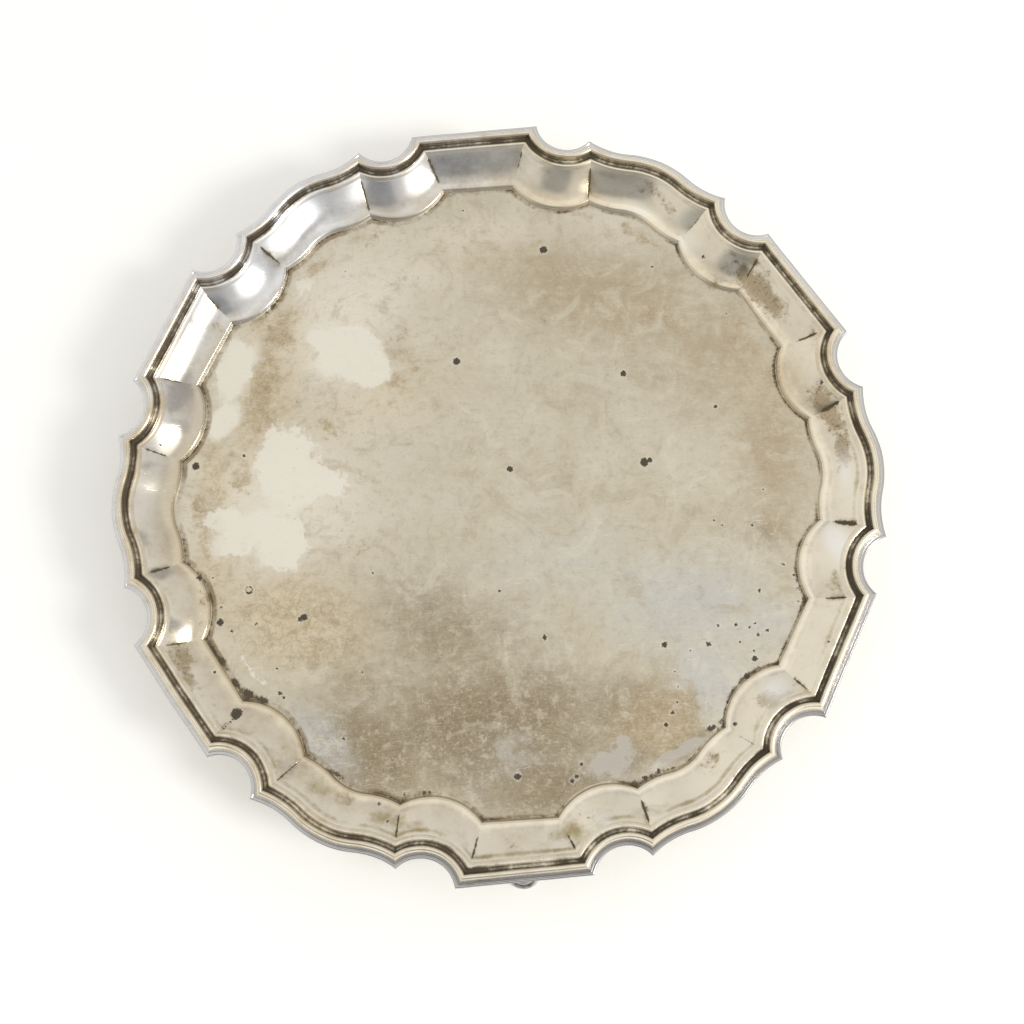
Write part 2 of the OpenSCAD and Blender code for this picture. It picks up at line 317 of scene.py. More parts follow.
class Nodes:
    """Adds nodes to one tree and links them."""

    def __init__(self, tree):
        self.tree = tree

    def feed(self, socket, value):
        """Links a socket, or sets its value."""
        if isinstance(value, bpy.types.NodeSocket):
            self.tree.links.new(value, socket)
        else:
            socket.default_value = value

    def node(self, kind, inputs, **settings):
        """A node with its settings and inputs."""
        made = self.tree.nodes.new("ShaderNode" + kind)
        for key, value in settings.items():
            setattr(made, key, value)
        for key, value in inputs.items():
            self.feed(made.inputs[key], value)
        return made

    def math(self, operation, a, b=0.0, c=0.0):
        """One Math node."""
        return self.node("Math", {0: a, 1: b, 2: c}, operation=operation).outputs[0]

    def times(self, a, b):
        """One value times another."""
        return self.math("MULTIPLY", a, b)

    def add(self, value, share, base):
        """The base plus a share of a value."""
        return self.math("MULTIPLY_ADD", value, share, base)

    def most(self, a, b):
        """The larger of two values."""
        return self.math("MAXIMUM", a, b)

    def ramp(self, value, low, high, to_low=0.0, to_high=1.0):
        """Value eased from low..high to to_low..to_high."""
        inputs = {"Value": value, "From Min": low, "From Max": high,
                  "To Min": to_low, "To Max": to_high}
        return self.node("MapRange", inputs, interpolation_type="SMOOTHSTEP").outputs["Result"]

    def mix(self, share, a, b):
        """Colour a with share of b."""
        made = self.tree.nodes.new("ShaderNodeMix")
        made.data_type = "RGBA"
        self.feed(made.inputs["Factor"], share)
        self.feed(made.inputs["A"], a)
        self.feed(made.inputs["B"], b)
        return made.outputs["Result"]


class Shader(Nodes):
    """One material."""

    def __init__(self, name):
        self.material = bpy.data.materials.new(name)
        self.material.use_nodes = True
        super().__init__(self.material.node_tree)
        self.bsdf = self.tree.nodes["Principled BSDF"]

    def position(self):
        """The point in the object's frame."""
        return self.node("TexCoord", {}).outputs["Object"]

    def noise(self, scale, detail=3.0, roughness=0.55, vector=None, distortion=0.0):
        """Noise texture; scale is in features per metre."""
        inputs = {"Vector": vector or self.position(), "Scale": scale, "Detail": detail,
                  "Roughness": roughness, "Distortion": distortion}
        return self.node("TexNoise", inputs).outputs["Fac"]

    def centred_noise(self, *shape, **settings):
        """Noise moved to run evenly either side of zero."""
        return self.math("SUBTRACT", self.noise(*shape, **settings), 0.5)

    def attribute(self, name):
        """A value kept on the mesh's points."""
        return self.node("Attribute", {}, attribute_name=name).outputs["Fac"]

    def drawn_out(self, angle, length_scale, width_scale):
        """The object's frame turned, with features per metre along and across."""
        inputs = {"Vector": self.position(), "Rotation": (0, 0, angle),
                  "Scale": (length_scale, width_scale, 1.0)}
        return self.node("Mapping", inputs).outputs[0]

    def brushed(self, length_scale, width_scale):
        """Fine noise drawn out along X, even either side of zero."""
        mapped = self.drawn_out(BRUSHING_TURN, length_scale, width_scale)
        return self.centred_noise(1.0, 3.0, 0.6, mapped)

    def streaks(self, angle, length_scale, width_scale, threshold):
        """Thin straight marks all in one direction."""
        value = self.noise(1.0, 1.0, 0.5, self.drawn_out(angle, length_scale, width_scale))
        return self.ramp(value, threshold, threshold + 0.03)

    def finish(self, colour, roughness, metallic, bump, bump_distance):
        """Feeds the surface shader."""
        self.feed(self.bsdf.inputs["Base Color"], colour)
        self.feed(self.bsdf.inputs["Roughness"], roughness)
        self.feed(self.bsdf.inputs["Metallic"], metallic)
        normal = self.node("Bump", {"Strength": 1.0, "Distance": bump_distance, "Height": bump})
        self.feed(self.bsdf.inputs["Normal"], normal.outputs["Normal"])
        return self.material


def rgba(red, green, blue):
    """A linear colour from screen values of 0 to 255."""
    def linear(v):
        v /= 255
        return v / 12.92 if v <= 0.04045 else ((v + 0.055) / 1.055) ** 2.4
    return (linear(red), linear(green), linear(blue), 1.0)


# ---- materials ----

CREAM = rgba(244, 233, 208)
STEEL = rgba(238, 238, 238)
TARNISH = rgba(208, 190, 156)
SPOT = rgba(78, 69, 54)
GRIME = rgba(84, 73, 54)
LIP_GREY = rgba(150, 146, 143)
PALE = rgba(224, 214, 190)
UMBER = rgba(158, 142, 112)
FOOT_TAN = rgba(136, 118, 88)
# The flat's film: bare stretches, then the colour that each kind of patch lays over it
DIM_FILM, CLEAR_FILM = rgba(203, 193, 170), rgba(210, 202, 181)
FILM = {
    "veil": rgba(232, 223, 204), "gold": rgba(212, 195, 161), "amber": rgba(184, 168, 140),
    "darker_front": rgba(147, 131, 105), "cool": rgba(198, 196, 188), "stain": rgba(184, 164, 130),
}
LIGHT_MARBLE, DARK_MARBLE = rgba(224, 216, 194), rgba(178, 163, 134)
POLISHED, DARKER_POLISHED = rgba(233, 227, 210), rgba(193, 185, 171)
STEELY_TARNISH = rgba(196, 189, 174)
STAINED, CRUSTED, OLIVE_POLISH = rgba(164, 141, 102), rgba(116, 95, 62), rgba(176, 160, 118)
LIGHT_REFLECTION, DARK_REFLECTION = rgba(255, 252, 244), rgba(168, 163, 155)
SCRATCH, HALO, PIT = rgba(236, 230, 214), rgba(230, 224, 208), rgba(150, 138, 118)

# Tarnish spots on the plate, in millimetres: x, y, radius
SPOTS = [
    (-9, 36.5, 1.0), (17, 67, 1.15), (36, 30, 0.8), (39.5, 5, 1.2), (41, 5.5, 0.8), (3.5, 5.5, 0.85),
    (60, 19, 0.55), (9.5, -40, 0.7), (0, -75, 0.9), (-53, -30.5, 1.0), (-54, -31, 0.7), (-80, -18.5, 0.7),
    (-76.5, -18.5, 0.3), (-74.5, -26.5, 0.45), (-75, -30.5, 1.0), (-72, -33, 0.4), (-65.5, -31.5, 0.45),
    (-60.5, -43.5, 0.35), (-60, -50, 0.55), (-59, -51, 0.45), (56.5, -12, 0.3), (58.5, -13.5, 0.3),
    (66.5, -14, 0.4), (70.5, -4.5, 0.3), (73.5, -25, 0.45), (76, -28, 0.35), (76.5, -31.5, 0.35),
    (76.5, -35, 0.4), (66.5, -31.5, 0.45), (55, -40, 0.4), (59.5, -40, 0.45), (63, -41, 0.35),
    (64.5, -40, 0.4), (67.5, -42, 0.5), (65, -43, 0.45), (60, -44.5, 0.3), (52, -44.5, 0.75),
    (63.5, -47, 0.35), (63.5, -49, 0.8), (61, -53.5, 0.8), (40.5, -44, 0.8), (47, -46, 0.3),
    (42.5, -51, 0.3), (43, -55, 0.3), (42.5, -59, 0.4), (41, -61.5, 0.5), (39, -64.5, 0.6),
    (50, -66.2, 0.6), (51.2, -65.8, 0.55), (16.5, -73, 0.5), (13.8, -77, 0.6), (15, -76, 0.55),
    (32.5, -77.5, 0.7), (36, -76, 0.6), (-80.5, 12, 1.1), (-67.5, 14, 0.45), (-4.5, 80, 0.35),
    (-38, 64.5, 0.3), (46.5, 60, 0.4), (65.5, 45, 0.35), (-38.5, -46, 0.4), (-44, -62.5, 0.4),
    (-22.5, -77.5, 0.4), (-1.5, -27, 0.3), (-34.5, -20, 0.3), (-76.5, -43.5, 0.4), (-71, -54.5, 1.55),
    (82, -46.5, 0.35), (56.5, -65.5, 0.5), (-89, 17.5, 0.3), (60.5, 61, 0.45), (88, 22.5, 0.6),
    (-35.5, -79.5, 0.5), (-33.5, -84, 0.4), (-29, -77.5, 0.4), (-24, -77.5, 0.5),
]
# Spots with a clear middle: x, y, radius, width of the ring
RINGS = [(-67.2, -22.4, 0.85, 0.25)]
# The tail of the biggest spot: two ends and radius
TAIL = ((-71.8, -56.0), (-73.8, -58.2), 0.3)
# Added to the distance from the spots on the underside, which has none
CLEAR_OF_SPOTS = 5 * MM


def spot_distance(shader, ragged):
    """Distance outside the nearest spot, in metres, with an uneven edge."""
    point = shader.position()
    flat = shader.node("VectorMath", {0: point, 1: (1.0, 1.0, 0.0)}, operation="MULTIPLY").outputs[0]

    def outside(x, y, radius):
        away = shader.node("VectorMath", {0: flat, 1: (x * MM, y * MM, 0)}, operation="DISTANCE")
        return shader.math("SUBTRACT", away.outputs["Value"], radius * MM)

    nearest = 1.0
    for x, y, radius in SPOTS:
        nearest = shader.math("MINIMUM", outside(x, y, radius), nearest)
    for x, y, radius, width in RINGS:
        edge = shader.math("ABSOLUTE", outside(x, y, radius))
        nearest = shader.math("MINIMUM", shader.math("SUBTRACT", edge, width * MM), nearest)
    (x0, y0), (x1, y1), width = TAIL
    for share in (0.0, 0.25, 0.5, 0.75, 1.0):
        bead = outside(x0 + (x1 - x0) * share, y0 + (y1 - y0) * share, width)
        nearest = shader.math("MINIMUM", bead, nearest)
    return shader.math("ADD", nearest, shader.times(ragged, 1.0 * MM))


class PlateShader(Shader):
    """The plate's material, with the noises that its parts share."""

    def __init__(self):
        super().__init__("plate_silver")
        self.broad = self.centred_noise(70, 3.0, 0.55)
        self.medium = self.centred_noise(230, 4.0, 0.6)
        self.fine = self.centred_noise(800, 5.0, 0.65)
        self.grain = self.centred_noise(2100, 2.0, 0.6)

    def patch(self, name, low, high, parts=(0.5, 0.6, 0.5)):
        """A painted patch with an uneven edge: shares of broad, medium and fine noise."""
        value = self.attribute(name)
        for noise, share in zip((self.broad, self.medium, self.fine), parts):
            value = self.add(noise, share, value)
        return self.ramp(value, low, high)


def flat_film(s, darker_front, stain):
    """The flat's warm tarnish film: its patches, marbling and fine marks."""
    film = s.mix(s.ramp(s.broad, -0.2, 0.2), DIM_FILM, CLEAR_FILM)
    laid = {
        "veil": s.patch("veil", 0.0, 0.9), "gold": s.patch("gold", 0.0, 1.0),
        "amber": s.patch("amber", 0.0, 1.0, (0.8, 0.8, 0.5)), "darker_front": darker_front,
        "cool": s.patch("cool", 0.0, 1.0), "stain": s.times(stain, 0.7),
    }
    for name, share in laid.items():
        film = s.mix(share, film, FILM[name])
    marbling = s.centred_noise(75, 7.0, 0.68, distortion=1.4)
    film = s.mix(s.ramp(marbling, 0.02, 0.16, 0.0, 0.4), film, LIGHT_MARBLE)
    film = s.mix(s.ramp(marbling, -0.02, -0.16, 0.0, 0.42), film, DARK_MARBLE)
    worn = s.most(s.most(stain, darker_front), s.patch("gold", 0.2, 0.9))

    def marked(film, mark, start, full, when_clean, when_worn, colour, worn_from=0.0):
        """The film with fine marks, whose strength follows how worn it is."""
        share = s.ramp(worn, worn_from, 1.0, when_clean, when_worn)
        return s.mix(s.times(s.ramp(mark, start, full), share), film, colour)

    brushing = s.brushed(150, 1300)
    film = marked(film, brushing, 0.03, 0.2, 0.08, 0.2, PALE)
    film = marked(film, brushing, -0.03, -0.2, 0.08, 0.2, UMBER)
    blotches = s.centred_noise(480, 3.0, 0.65)
    film = marked(film, blotches, 0.04, 0.16, 0.18, 0.4, PALE)
    film = marked(film, blotches, -0.04, -0.16, 0.18, 0.4, UMBER)
    veins = s.math("ABSOLUTE", s.centred_noise(190, 5.0, 0.7, distortion=0.8))
    film = marked(film, veins, 0.05, 0.0, 0.0, 0.45, UMBER, worn_from=0.1)
    light_veins = s.math("ABSOLUTE", s.centred_noise(330, 4.0, 0.65, distortion=0.5))
    film = marked(film, light_veins, 0.04, 0.0, 0.1, 0.16, PALE)
    film = marked(film, s.brushed(420, 2100), 0.12, 0.2, 0.1, 0.3, PALE)
    film = marked(film, s.add(s.fine, 0.6, s.grain), 0.1, 0.22, 0.25, 0.5, PALE)
    return marked(film, s.add(s.fine, -0.7, s.grain), 0.12, 0.24, 0.25, 0.45, UMBER)


def border_silver(s, stain):
    """The border's bright silver: tarnish, stains, old polish and the dents' reflections."""
    # Steel and tone: bare silver and tarnish, partly painted reflections set by bearing
    silver = s.mix(s.attribute("steel"), CREAM, STEEL)
    tarnish = s.mix(s.attribute("steel"), TARNISH, STEELY_TARNISH)
    silver = s.mix(s.patch("tone", 0.1, 1.0, (0.6, 0.6, 0.3)), silver, tarnish)
    silver = s.mix(s.times(stain, 0.7), silver, STAINED)
    crust = s.times(s.ramp(s.add(s.fine, 0.9, s.grain), 0.08, 0.2), stain)
    silver = s.mix(s.times(crust, 0.8), silver, CRUSTED)
    silver = s.mix(s.patch("olive", 0.15, 0.9, (0.6, 0.9, 0.4)), silver, OLIVE_POLISH)
    dents = (0.6, 0.4, 0.2)
    silver = s.mix(s.times(s.patch("glare", 0.1, 0.9, dents), 0.75), silver, LIGHT_REFLECTION)
    return s.mix(s.times(s.patch("shade", 0.2, 0.8, dents), 0.75), silver, DARK_REFLECTION)


def plate_silver():
    """Sheet silver: film and polished clouds, the bright border, scratches, spots, dirt."""
    s = PlateShader()
    darker_front = s.patch("darker_front", 0.0, 1.0)
    stain = s.patch("stain", 0.25, 0.75, (0.9, 1.2, 0.9))
    softness = s.ramp(s.centred_noise(95, 1.0, 0.5), -0.04, 0.12)
    low = s.add(softness, -0.3, 0.36)
    clean = s.patch("clean", low, s.add(softness, 0.15, 0.52), (0.7, 0.9, 0.5))
    polished = s.mix(s.ramp(darker_front, 0.0, 0.7), POLISHED, DARKER_POLISHED)
    film = s.mix(s.times(clean, 0.9), flat_film(s, darker_front, stain), polished)
    bright = s.attribute("bright")
    colour = s.mix(bright, film, border_silver(s, stain))
    scratches = s.most(s.streaks(-0.95, 200, 4600, 0.7), s.streaks(-0.5, 260, 4400, 0.72))
    scratches = s.most(scratches, s.streaks(0.8, 280, 4400, 0.73))
    colour = s.mix(s.times(scratches, 0.4), colour, SCRATCH)

    edge = spot_distance(s, s.add(s.grain, 1.2, s.fine))
    edge = s.add(s.attribute("below"), CLEAR_OF_SPOTS, edge)
    spots = s.ramp(edge, 0.1 * MM, -0.25 * MM)
    halo = s.math("SUBTRACT", s.ramp(edge, 0.6 * MM, 0.15 * MM), spots)
    colour = s.mix(s.times(halo, 0.25), colour, HALO)
    foot_line = s.add(s.medium, 1.0, s.math("ADD", s.attribute("foot"), s.fine))
    foot_line = s.ramp(foot_line, 0.2, 0.9)
    colour = s.mix(s.times(foot_line, 0.85), colour, FOOT_TAN)
    dirt_value = s.add(s.medium, 0.9, s.add(s.fine, 1.3, s.attribute("grime")))
    dirt = s.ramp(s.add(s.grain, 0.8, dirt_value), 0.3, 0.75)
    colour = s.mix(dirt, colour, GRIME)
    colour = s.mix(spots, colour, SPOT)
    dirt = s.most(s.most(dirt, spots), s.times(foot_line, 0.5))

    rough = s.add(bright, -0.2, s.ramp(clean, 0.0, 1.0, 0.36, 0.26))
    rough = s.add(dirt, 0.3, rough)
    height = s.add(scratches, -0.3, s.times(s.fine, 0.35))
    height = s.add(dirt, -1.2, s.times(height, s.ramp(bright, 0.0, 1.0, 1.0, 0.4)))
    return s.finish(colour, rough, s.add(dirt, -0.75, 1.0), height, 0.02 * MM)


def cast_silver(name, roughness):
    """Cast silver: bright on the lines, tarnished brown-black in the hollows."""
    s = Shader(name)
    fine = s.centred_noise(900, 4.0, 0.6)
    medium = s.centred_noise(260, 3.0, 0.55)
    film = s.mix(s.attribute("steel"), CREAM, STEEL)
    tone = s.add(medium, 1.0, s.attribute("tone"))
    film = s.mix(s.ramp(tone, 0.1, 1.0), film, TARNISH)
    film = s.mix(s.attribute("lip"), film, LIP_GREY)
    pits = s.ramp(s.centred_noise(1700, 2.0, 0.6), 0.12, 0.25)
    film = s.mix(s.times(pits, 0.35), film, PIT)
    dirt = s.ramp(s.add(medium, 0.8, s.add(fine, 0.9, s.attribute("grime"))), 0.2, 1.0)
    colour = s.mix(dirt, film, GRIME)
    rough = s.add(dirt, 0.35, s.ramp(medium, -0.3, 0.3, roughness, roughness + 0.1))
    height = s.add(dirt, -0.8, s.times(fine, 0.5))
    return s.finish(colour, rough, s.add(dirt, -0.7, 1.0), height, 0.02 * MM)


# ---- the plate ----

STEP_H = 1.1 * MM
# The step at the border's foot: share of the border's width, share of the step's height
STEP = rounded_path([(0, 0), (0.02, 0.16), (0.045, 0.52), (0.08, 0.83), (0.13, 0.98), (0.18, 1.0)], 3)
# How late the cove above the step rises: 1 is a straight slope
COVE_POWER = 1.5
COVE_STEPS = 22
# Rings of the flat just inside the step, in millimetres from it
WELL_INSETS = [3.2, 2.4, 1.8, 1.35, 1.0, 0.75, 0.55, 0.35, 0.18]
FLOOR_RINGS, UNDER_RINGS = 40, 12
# The plate's rings carry their share of the way across the border. On the flat it is
# minus the distance from the step in millimetres, and on the underside this mark.
MIDDLE, UNDERSIDE = -4, 2

# Patches on the plate, in millimetres: x, y, half-lengths along and across, turn in
# degrees, strength
CLEAN = [
    (-38, 41, 8, 7, -25, 1.2), (-44, 44, 6, 3.5, -40, 0.85), (-33, 36, 5, 4.5, 0, 1.1),
    (-56, 10, 7, 10, 10, 1.3), (-47, 6, 7, 4.5, -30, 0.8), (-58, -10, 6, 6.5, 20, 1.2),
    (-66, -7, 10, 4.5, 25, 1.0), (-72, -3, 5, 3, 10, 0.8), (-69, 38, 4.5, 7.5, -20, 1.1),
    (-73, 24, 2.6, 5.5, -35, 1.1), (-66.5, -43.5, 1.3, 6.5, 40, 0.6), (-50, 60, 3.5, 6, -40, 0.45),
    (24, -72.5, 6, 3.2, 15, 0.85), (28, -69.5, 2.4, 3.2, 0, 0.85), (42, -71.5, 8, 1.3, 26, 0.9),
    (-3, -67, 3.2, 5.5, -25, 0.55), (1, -73, 6, 3, 10, 0.5),
]
STAIN = [
    (37, -62, 11, 7, 20, 0.9), (40, -68, 9, 3, 22, 0.9), (26, -66, 4, 3, 0, 0.7),
    (-62, 34, 4, 13, -12, 0.85), (-57, 48, 4, 9, -30, 0.85), (-62, 22, 6, 5, 0, 0.6),
    (-64, -27, 12, 8, -25, 0.3), (-77, -9, 3, 7, -15, 0.8), (-72, 13, 3, 8, -10, 0.5),
    (-77, -24, 3, 5, 0, 0.6), (-44, 24, 8, 6, 0, 0.5), (-24, 32, 8, 4, 20, 0.5), (-24, 42, 4, 5, 0, 0.6),
    (8, 65, 14, 4, -10, 0.35), (47, 47, 14, 7, -30, 0.35), (73, -12, 4, 9, 25, 0.5),
    (76, 20, 3, 12, 5, 0.45), (-84, -41, 2.2, 7, 20, 0.75), (92, 5, 1.6, 5, 0, 0.9),
    (91, 13, 1.2, 4, 10, 0.7), (88.5, 16, 6, 2.2, -65, 1.1), (75, 50, 2.3, 9, 38, 1.1),
    (91, 19, 2.5, 2, 0, 0.5), (47, 81, 5, 2, -25, 0.5), (52, 76, 4, 2, -30, 0.55),
    (65, -60, 3, 2, 0, 0.6), (50, -74, 3, 2, 30, 0.6), (-44, -78, 8, 2.5, -28, 0.4),
    (-60, -14, 6, 4, 0, 0.4), (84, -32, 2, 3, 0, 0.3), (17, -88, 5, 2, 0, 0.35), (70, 38, 3, 12, 35, 0.4),
    (-68, 8, 4, 6, 0, 0.5),
]
FLOOR_STAIN = [
    (-58, 57, 5, 2.5, 45, 0.8), (-62, 52, 3, 3, 0, 0.8), (-40, -14, 14, 6, 10, 0.35),
    (-46, 66, 6, 1.3, 38, 0.8), (-32, 74, 6, 1.2, 15, 0.7), (26, 77, 8, 1.2, -10, 0.5),
    (44, 69, 8, 1.4, -38, 0.6), (-80, 2, 1.5, 7, 0, 0.6),
]
GOLD = [
    (-56, -32, 20, 13, -20, 0.9), (-76, -15, 7, 14, -10, 0.7), (-62, 30, 9, 20, -15, 0.8),
    (-76, 8, 5, 16, 0, 0.7), (-28, 28, 22, 9, 15, 0.45), (-56, 52, 7, 8, 45, 0.5),
    (-30, -72, 16, 6, -20, 0.5), (38, -62, 14, 9, 20, 0.5), (70, 28, 8, 22, 20, 0.4),
    (0, 68, 20, 8, 0, 0.35),
]
# Patches that lay a darker brown over the front (-Y) half of the flat and dim its polished clouds there
DARKER_FRONT = [
    (-6, -62, 30, 16, -5, 1.0), (-38, -66, 16, 12, -30, 0.95), (28, -60, 16, 9, 5, 0.75),
    (-16, -38, 22, 15, -25, 0.62), (8, -78, 20, 8, 0, 0.9), (-40, -46, 12, 12, 0, 0.42),
    (71, -16, 7, 5, 25, 0.5), (-20, -20, 16, 9, -20, 0.2), (2, -72, 11, 11, 0, 1.0),
    (-62, -8, 12, 7, 15, 0.12), (27, -72, 10, 5, 15, 0.95), (44, -70, 9, 3, 26, 0.9),
]
COOL = [
    (48, -34, 20, 12, -8, 0.85), (52, -54, 9, 12, 40, 0.9), (18, -20, 24, 12, -8, 0.4),
    (-49, -63, 4.5, 10, 42, 0.95), (-1, -70, 9, 8, 0, 0.4), (66, -40, 10, 10, 0, 0.6),
    (25, -73, 8, 4, 10, 0.5),
]
AMBER = [
    (32, 52, 32, 14, -18, 0.85), (62, 34, 16, 18, 0, 0.7), (74, 6, 10, 22, 0, 0.8),
    (-6, 50, 20, 14, 0, 0.25), (4, 32, 26, 14, 0, 0.15), (-70, 28, 10, 18, -15, 0.2),
    (-58, -30, 16, 12, -20, 0.1),
]
VEIL = [
    (-40, 52, 26, 15, 40, 0.85), (-60, 0, 22, 20, 0, 0.95), (-22, 62, 22, 9, 0, 0.6),
    (-36, 28, 16, 14, 0, 0.6), (-60, 45, 10, 10, 0, 0.6), (-76, 0, 8, 18, 0, 0.8), (0, 72, 26, 7, 0, 0.6),
    (-20, 46, 16, 12, 0, 0.4), (10, 10, 50, 30, 0, 0.12), (36, 72, 12, 7, -20, 0.55),
    (-74, -38, 10, 6, 40, 0.5), (30, 66, 10, 4, -20, 0.4),
]
DIRT = [
    (-77, -37.5, 0.5, 3.6, 30, 0.9), (-75, -40.5, 1.0, 1.2, 30, 1.0), (-71.5, -46.5, 1.6, 0.9, -42, 1.1),
    (-68.3, -49.6, 2.0, 0.9, -30, 1.1), (-64.5, -51.3, 1.4, 0.7, -28, 1.0),
    (50.5, -66.5, 1.4, 0.8, 20, 0.8), (53.5, -64.5, 1.6, 0.6, 40, 0.75), (14.5, -76.5, 2.2, 0.8, 40, 0.7),
    (29.5, -78.8, 2.0, 0.9, 0, 0.8), (37, -76.4, 6, 0.6, 18, 0.6), (69, -51, 1.2, 0.9, 0, 0.8),
    (-47, -71, 4, 0.8, -30, 0.7), (78.2, -35.5, 0.9, 1.6, 0, 0.9), (-80.6, -18, 0.8, 1.4, 0, 0.9),
    (-58.5, 55.5, 4, 1.0, 45, 0.6),
]
ON_THE_FLAT = {"clean": CLEAN, "gold": GOLD, "darker_front": DARKER_FRONT, "cool": COOL, "amber": AMBER, "veil": VEIL}
# Patches on the border: old polish, and where dents throw a lighter or darker reflection
OLIVE_PATCHES = [
    (13, -90, 5, 3, 0, 0.7), (20, -90, 2, 4, -10, 0.6), (-32, -84, 8, 2, -15, 0.6),
    (32, -86, 5, 2, 10, 0.5), (-15, -91, 3, 2, 0, 0.4), (-60, -68, 5, 3, -45, 0.4),
    (66, -62, 4, 2, 40, 0.4), (-48, -76, 8, 3, -30, 0.5), (-88, -32, 2.5, 3, 0, 0.5),
]
GLARE = [
    (-93, 2, 4, 4.5, 0, 0.4), (87.5, -21, 3.2, 6, 10, 0.85), (21.5, -89, 2.5, 4, 30, 0.6),
    (-16, -92, 3, 2.5, 0, 0.5), (68, -57, 4, 3, 40, 0.75), (92, -2, 2, 7, 0, 0.55),
    (45, 76, 5, 2.5, -30, 0.5), (56, 66, 4, 3, -40, 0.5),
]
SHADE = [
    (-94.5, -8, 2.5, 3, 0, 0.8), (-90, -17, 4.5, 2, 15, 0.8), (-85.5, -31, 5, 1.6, -35, 0.8),
    (-85, 22.5, 4, 2.2, 10, 0.8), (-92, 12, 3, 1.5, 20, 0.6), (-52, 72, 14, 4, 40, 0.52),
    (90, -9.5, 3, 1.4, 0, 0.4), (-58, -69, 3, 2, -45, 0.5), (-1, 91, 18, 6, 2, 0.55),
    (-48, 76, 10, 1.6, 38, 0.7), (-84, 32, 3, 7, -20, 0.85),
]
# How far in the tan line at the border's foot reaches, in millimetres, by bearing in degrees
FOOT_BEARINGS = [0, 45, 120, 230, 300]
FOOT_REACH = [1.2, 1.1, 2.0, 1.8, 1.0]
# The creases where panels meet: bearing in degrees, share of the border's width where the
# dirt starts, half width in millimetres, strength
CREASES = [
    (11.5, 0.3, 0.45, 1.2), (20.2, 0.3, 0.4, 1.0), (39.8, 0.25, 0.3, 1.0), (48.5, 0.3, 0.2, 0.5),
    (71.5, 0.0, 0.3, 1.1), (80.2, 0.3, 0.2, 0.6), (99.8, 0.1, 0.45, 1.0), (108.5, 0.0, 0.3, 0.9),
    (131.5, 0.2, 0.35, 1.1), (140.2, 0.3, 0.25, 0.7), (159.8, 0.3, 0.25, 0.9), (168.5, 0.25, 0.3, 0.9),
    (191.5, 0.25, 0.4, 1.1), (200.2, 0.3, 0.25, 1.0), (219.8, 0.5, 0.2, 0.6), (228.5, 0.05, 0.25, 0.9),
    (251.5, 0.15, 0.25, 0.9), (260.2, 0.2, 0.35, 0.9), (279.8, 0.4, 0.35, 0.9), (288.5, 0.2, 0.4, 1.1),
    (311.5, 0.3, 0.3, 0.4), (320.2, 0.4, 0.35, 0.8), (339.8, 0.3, 0.3, 1.0), (348.5, 0.25, 0.5, 1.3),
]
OLIVE_BEARINGS = [0, 40, 70, 100, 190, 230, 270, 300, 330]
OLIVE = [0.5, 0.35, 0.3, 0.1, 0.3, 0.7, 0.8, 0.65, 0.5]
# How tarnished the border is, by bearing in degrees, partly painted lighter and darker
# reflections of the room, and where it is left bare and steely, partly a painted neutral
# reflection
TONE_BEARINGS = [0, 18, 30, 45, 62, 80, 95, 108, 120, 140, 165, 195, 225, 240, 252, 268, 290, 335]
TONE = [0.25, 0.55, 0.25, 0.33, 0.2, 0.46, 0.38, 0.55, 0.35, 0.4, 0.65, 0.5, 0.45, 0.5, 0.38, 0.3,
        0.22, 0.25]
# Painted shade over the highlight on the round top of the step, by bearing in degrees
STEP_BEARINGS = [30, 90, 150, 210, 270, 330]
STEP_SHADE = [0.42, 0.0, 0.2, 0.42, 0.5, 0.48]
STEEL_BEARINGS = [75, 95, 118, 135, 160, 190]
STEELY = [0.0, 0.6, 1.0, 0.95, 0.7, 0.2]
# By bearing in degrees: how dirty the middle of the moulding's groove is, how much darker its
# outer hollow is laid, how dirty the groove's side of the bead is, how grey its outer face
# is, and how far in that grey reaches in millimetres
MOULDING_BEARINGS = [0, 30, 60, 90, 130, 170, 220, 245, 270, 295, 330]
GROOVE_DIRT = [0.82, 0.58, 0.68, 0.8, 0.85, 0.8, 0.68, 0.68, 0.68, 0.68, 0.78]
HOLLOW_DARKER = [0.1, 0.05, 0.1, 0.2, 0.1, 0.15, 0.25, 0.35, 0.4, 0.3, 0.2]
BEAD_DIRT = [0.15, 0.0, 0.1, 0.2, 0.35, 0.35, 0.28, 0.35, 0.45, 0.42, 0.35]
OUTER_GREY = [0.6, 0.5, 0.4, 0.4, 0.15, 0.2, 0.4, 0.55, 0.65, 0.7, 0.8]
GREY_REACH = [0.8, 0.6, 0.7, 0.8, 0.8, 0.8, 0.8, 1.6, 2.2, 1.6, 0.75]


def around(points, bearings, values):
    """A value for each point from a few set at bearings round the salver."""
    bearing = np.degrees(np.arctan2(points[:, 1], points[:, 0])) % 360
    return np.interp(bearing, bearings, values, period=360)


def patches(points, shapes):
    """Strength of soft patches at each point."""
    total = np.zeros(len(points))
    for x, y, along, across, angle, strength in shapes:
        local = (points[:, 0] + 1j * points[:, 1] - complex(x, y) * MM) * turned(-math.radians(angle))
        gap = (local.real / along) ** 2 + (local.imag / across) ** 2
        total = np.maximum(total, strength * np.exp(-0.7 * gap / MM**2))
    return total


def border_sections():
    """The border's section from the well to the moulding, and the underside's."""
    shares = np.linspace(0, 1, COVE_STEPS + 1)[1:]
    step = STEP * [1, STEP_H]
    start = STEP[-1][0]
    rise = STEP_H + (border_h - STEP_H) * shares**COVE_POWER
    cove = np.stack([start + (1 - start) * shares, rise], 1)
    top = np.vstack([step, cove])
    width = (RIM.straight_dist - MOULD_W) - WELL.straight_dist
    slope = np.arctan2(np.gradient(top[:, 1]), np.gradient(top[:, 0]) * width)
    slope[0] = 0
    under = top + sheet_t * np.stack([np.sin(slope) / width, -np.cos(slope)], 1)
    return top, under


